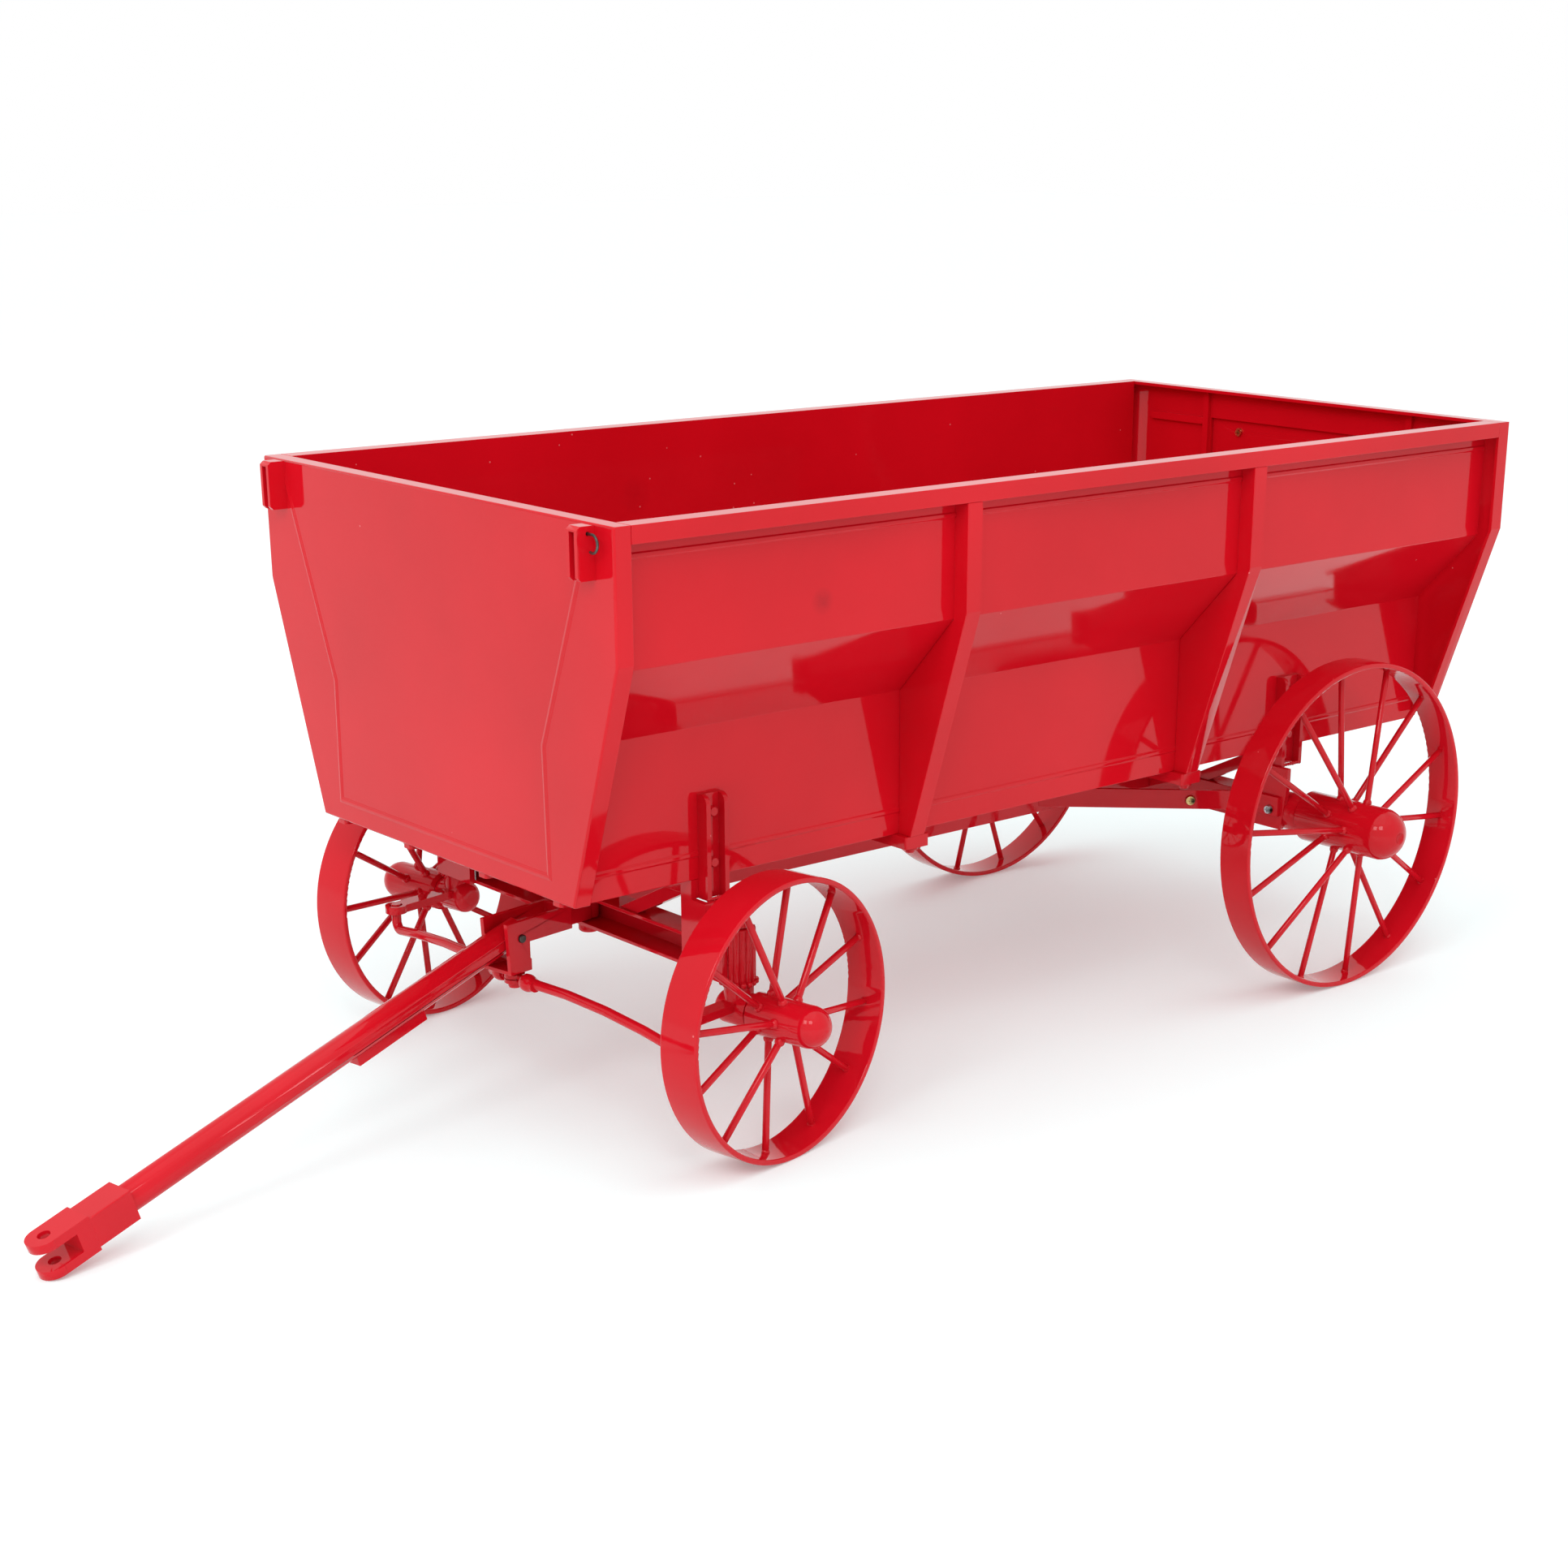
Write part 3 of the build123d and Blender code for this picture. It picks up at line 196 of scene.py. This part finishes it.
def metal(name, dark, light, roughness, turned, sockets=()):
    """Bare or plated metal: fine turning or drawing lines, tarnish clouds, tiny pits, painted shade in the
    driver sockets.
    """
    material, nodes, links, shader = new_material(name)
    place = object_space(nodes, links)
    lines = noise(nodes, links, object_space(nodes, links, turned), scale=300, detail=3, roughness=0.6)
    clouds = noise(nodes, links, place, scale=240, detail=5, roughness=0.6)
    pits = specks(nodes, links, place, scale=1500, size=0.15, share=0.12)
    colour = blend_colour(nodes, links, spread(nodes, links, clouds, low=0, high=1), dark, light)
    pitted = combine(nodes, links, "MULTIPLY", pits, pit_strength)
    colour = blend_colour(nodes, links, pitted, colour, pit_brown)
    # painted shade: a dark patch at each socket middle stands in for the shade in the recess
    for middle in sockets:
        socket = near(nodes, links, place, middle, shaded_socket_radius)
        colour = blend_colour(nodes, links, socket, colour, painted_socket_shade)
    links.new(colour, shader.inputs["Base Color"])
    shader.inputs["Metallic"].default_value = 1.0
    rough = spread(nodes, links, lines, low=roughness - line_smoothing, high=roughness + line_dulling)
    links.new(rough, shader.inputs["Roughness"])
    normal = bump(nodes, links, lines, distance=0.00003, strength=0.5)
    normal = bump(nodes, links, pits, distance=0.00004, strength=0.4, below=normal)
    links.new(normal, shader.inputs["Normal"])
    return material


# a smudge is its middle and its radius
box_middle = sum((Vector(corner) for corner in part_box("box_floor")), Vector()) / 2
inner_smudge = (box_middle + Vector((-0.0805, -0.060, 0.0879)), 0.010)
outer_smudge = (box_middle + Vector((0.0896, -0.1218, 0.0823)), 0.0045)
box_enamel = enamel(
    "box_enamel",
    deep=(0.53, 0.003, 0.009, 1),
    bright=(0.61, 0.004, 0.012, 1),
    peel=0.04,
    smudges=(inner_smudge, outer_smudge),
)
gear_enamel = enamel(
    "gear_enamel",
    deep=(0.46, 0.003, 0.008, 1),
    bright=(0.58, 0.005, 0.014, 1),
    peel=0.12,
    gloss=(0.02, 0.08),
)


def screw_middles(name, inset):
    """Middles of the two outermost screw heads of a CAD node, a distance in from the ends of its box."""
    low, high = (Vector(corner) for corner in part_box(name))
    middle = (low + high) / 2
    return [(x, middle.y, middle.z) for x in (low.x + inset, high.x - inset)]


# a head's middle lies this far in from the end of its node's box
flat_head_inset = 0.0004
gate_head_inset = 0.0018
# stretches of space that draw the metal's fine lines round an axis
lines_round_y = (1, 6, 1)
lines_round_x = (6, 1, 1)
# middles of the brass heads, which get painted recess shade
brass_shaded_sockets = screw_middles("hound_screws", flat_head_inset) + screw_middles("gate_screws", gate_head_inset)
brass = metal(
    "brass_screw",
    dark=(0.42, 0.29, 0.10, 1),
    light=(0.80, 0.62, 0.30, 1),
    roughness=0.28,
    turned=lines_round_y,
    sockets=brass_shaded_sockets,
)
steel = metal(
    "zinc_screw",
    dark=(0.36, 0.36, 0.37, 1),
    light=(0.68, 0.68, 0.70, 1),
    roughness=0.26,
    turned=lines_round_y,
    # painted shade at the middles of the zinc heads' driver recesses
    sockets=screw_middles("axle_screws", flat_head_inset),
)
dark_steel = metal(
    "dark_steel",
    dark=(0.05, 0.045, 0.04, 1),
    light=(0.16, 0.15, 0.14, 1),
    roughness=0.42,
    turned=lines_round_x,
)

metal_nodes = {
    "ring_hook": dark_steel,
    "hitch_pin": dark_steel,
    "gate_hinge_pin": steel,
    "axle_screws": steel,
    "gate_screws": brass,
    "hound_screws": brass,
}
thick_edged = ("side_panel", "side_ribs", "front_panel", "rear_frame", "corner_ears")
box_nodes = thick_edged + ("box_floor", "end_gate")


def finish_for(name):
    """The material of a CAD node."""
    if name in metal_nodes:
        return metal_nodes[name]
    if name.startswith(box_nodes):
        return box_enamel
    return gear_enamel


# ------------------------------------------------------------------ softened sheet edges

folded_edge = 0.0004
cut_edge = 0.00022
sharp_angle = 0.6


def edge_width(name):
    """How far the paint rounds the sharp edges of a CAD node."""
    if name.startswith(thick_edged):
        return folded_edge
    return cut_edge


def soften(piece, width):
    """Rounds the sharp edges of a CAD piece, as thick paint does."""
    weld = piece.modifiers.new("weld", "WELD")
    weld.merge_threshold = 0.000002
    bevel = piece.modifiers.new("paint_edge", "BEVEL")
    bevel.width = width
    bevel.segments = 2
    bevel.limit_method = "ANGLE"
    bevel.angle_limit = sharp_angle
    bevel.use_clamp_overlap = True
    bevel.harden_normals = True


for name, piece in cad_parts.items():
    material = finish_for(name)
    if not piece.material_slots:
        piece.data.materials.append(material)
    for slot in piece.material_slots:
        slot.link = "OBJECT"
        slot.material = material
    soften(piece, edge_width(name))

# ------------------------------------------------------------------ weld blobs

chance = random.Random(7)
least_stretch = 0.8
most_stretch = 1.15


def weld_blobs(name, places, size, body):
    """Small uneven blobs of painted weld metal at places on one body, as one piece."""
    blobs = bmesh.new()
    for place in places:
        stretches = [chance.uniform(least_stretch, most_stretch) * size for axis in range(3)]
        shape = Matrix.Translation(place) @ Matrix.Diagonal(stretches + [1])
        bmesh.ops.create_icosphere(blobs, subdivisions=3, radius=1, matrix=shape)
    mesh = bpy.data.meshes.new(name)
    blobs.to_mesh(mesh)
    blobs.free()
    for face in mesh.polygons:
        face.use_smooth = True
    mesh.materials.append(gear_enamel)
    piece = bpy.data.objects.new(name, mesh)
    bpy.context.collection.objects.link(piece)
    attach(piece, body)


def box_centre(name):
    """Middle of a CAD node's box at rest."""
    low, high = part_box(name)
    return (Vector(low) + Vector(high)) / 2


rim_weld_size = 0.00135
rim_band = 0.0018
wheel_yaw = radians(10.5)
wheels = {
    # wheel: number of spokes, degrees of the first one from straight up, turn of the wheel about z
    "front_left": (12, 22.2, wheel_yaw),
    "front_right": (12, 1.2, wheel_yaw),
    "rear_left": (14, 32.2, 0),
    "rear_right": (14, 14.0, 0),
}
for wheel, (spoke_count, first_spoke, yaw) in wheels.items():
    end, hand = wheel.split("_")
    side = 1 if hand == "left" else -1
    outward = Vector((side * cos(yaw), side * sin(yaw), 0))
    across = outward.cross(Vector((0, 0, 1)))
    low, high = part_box(f"{wheel}_rim")
    inner_radius = (high[2] - low[2]) / 2 - rim_band
    spoke_ends = []
    for number in range(spoke_count):
        angle = radians(first_spoke + 360 * number / spoke_count)
        along = Vector((0, 0, cos(angle))) + across * sin(angle)
        spoke_ends.append(box_centre(f"{wheel}_rim") + along * inner_radius)
    weld_blobs(f"{wheel}_rim_welds", spoke_ends, rim_weld_size, f"{end}_wheel_{hand}_body")

housing_weld_size = 0.0009
housing_blobs = 16
housing_radius = 0.0053
housing_foot_z = 0.0528
deepest = -0.0002
proudest = 0.0003
for hand in ("left", "right"):
    middle = box_centre(f"kingpin_{hand}")
    ring = []
    for number in range(housing_blobs):
        angle = radians(360 * number / housing_blobs)
        reach_out = housing_radius + chance.uniform(deepest, proudest)
        around = (middle.x + reach_out * cos(angle), middle.y + reach_out * sin(angle), housing_foot_z)
        ring.append(Vector(around))
    weld_blobs(f"housing_{hand}_weld", ring, housing_weld_size, "wagon")

stake_weld_size = 0.0007
seam_blobs = 9
seam_inset = 0.0004
seam_rise = 0.0003
stake_foot_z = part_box("front_stakes")[0][2]
for end in ("front", "rear"):
    low, high = (Vector(corner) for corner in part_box(f"{end}_stakes"))
    seam = []
    for side_x in (low.x, high.x):
        inward = seam_inset if side_x < 0 else -seam_inset
        for number in range(seam_blobs):
            seam_y = low.y + (high.y - low.y) * (number + 0.5) / seam_blobs
            seam.append(Vector((side_x + inward, seam_y, stake_foot_z + seam_rise)))
    weld_blobs(f"{end}_stake_welds", seam, stake_weld_size, "wagon")

# ------------------------------------------------------------------ studio

floor_reach = 6.0
floor_corners = [(x * floor_reach, y * floor_reach, 0) for x, y in ((-1, -1), (1, -1), (1, 1), (-1, 1))]
floor_mesh = bpy.data.meshes.new("floor")
floor_mesh.from_pydata(floor_corners, [], [(0, 1, 2, 3)])
floor = bpy.data.objects.new("floor", floor_mesh)
bpy.context.collection.objects.link(floor)
paper, nodes, links, shader = new_material("paper")
fibre = noise(nodes, links, object_space(nodes, links), scale=600, detail=4)
paper_colour = blend_colour(nodes, links, fibre, (0.70, 0.83, 0.83, 1), (0.73, 0.86, 0.86, 1))
links.new(paper_colour, shader.inputs["Base Color"])
shader.inputs["Roughness"].default_value = 0.7
shader.inputs["Emission Color"].default_value = (1, 1, 1, 1)
shader.inputs["Emission Strength"].default_value = 0.2
floor.data.materials.append(paper)

world = bpy.data.worlds.new("studio")
bpy.context.scene.world = world
bpy.context.scene.view_settings.view_transform = "Standard"
world.use_nodes = True
sky = world.node_tree.nodes["Background"]
sky.inputs["Color"].default_value = (1, 1, 1, 1)
sky.inputs["Strength"].default_value = 1.0


def lamp(name, kind, place, target, power):
    """A soft lamp at a place, aimed at a target."""
    light = bpy.data.lights.new(name, kind)
    light.energy = power
    stand = bpy.data.objects.new(name, light)
    stand.location = place
    stand.rotation_euler = (Vector(target) - Vector(place)).to_track_quat("-Z", "Y").to_euler()
    bpy.context.collection.objects.link(stand)
    return light


wagon_middle = (0, 0, 0.1)
dome = lamp("dome", "SUN", (0.5, -0.3, 2), wagon_middle, power=0.25)
dome.angle = radians(70)
overhead = lamp("overhead", "AREA", (0.1, -0.1, 1.3), wagon_middle, power=1.5)
overhead.size = 1.2
for name, place in (("left_window", (1.0, -0.75, 1.05)), ("right_window", (0.45, -1.2, 1.05))):
    window = lamp(name, "AREA", place, wagon_middle, power=3.8)
    window.size = 0.45

# ------------------------------------------------------------------ camera at the photo's viewing angle

camera_data = bpy.data.cameras.new("camera")
camera_data.sensor_width = 36
camera_data.lens = 60.415
camera_data.shift_x = -0.077919
camera_data.shift_y = 0.149317
camera_data.clip_start = 0.01
camera = bpy.data.objects.new("camera", camera_data)
bpy.context.collection.objects.link(camera)
camera_left = 0.67373
camera_ahead = 0.61444
camera_height = 0.30637
camera_angles = (70.676, -0.537, 48.175)
camera.location = (camera_left, box_middle.y - camera_ahead, camera_height)
camera.rotation_euler = [radians(angle) for angle in camera_angles]
bpy.context.scene.camera = camera
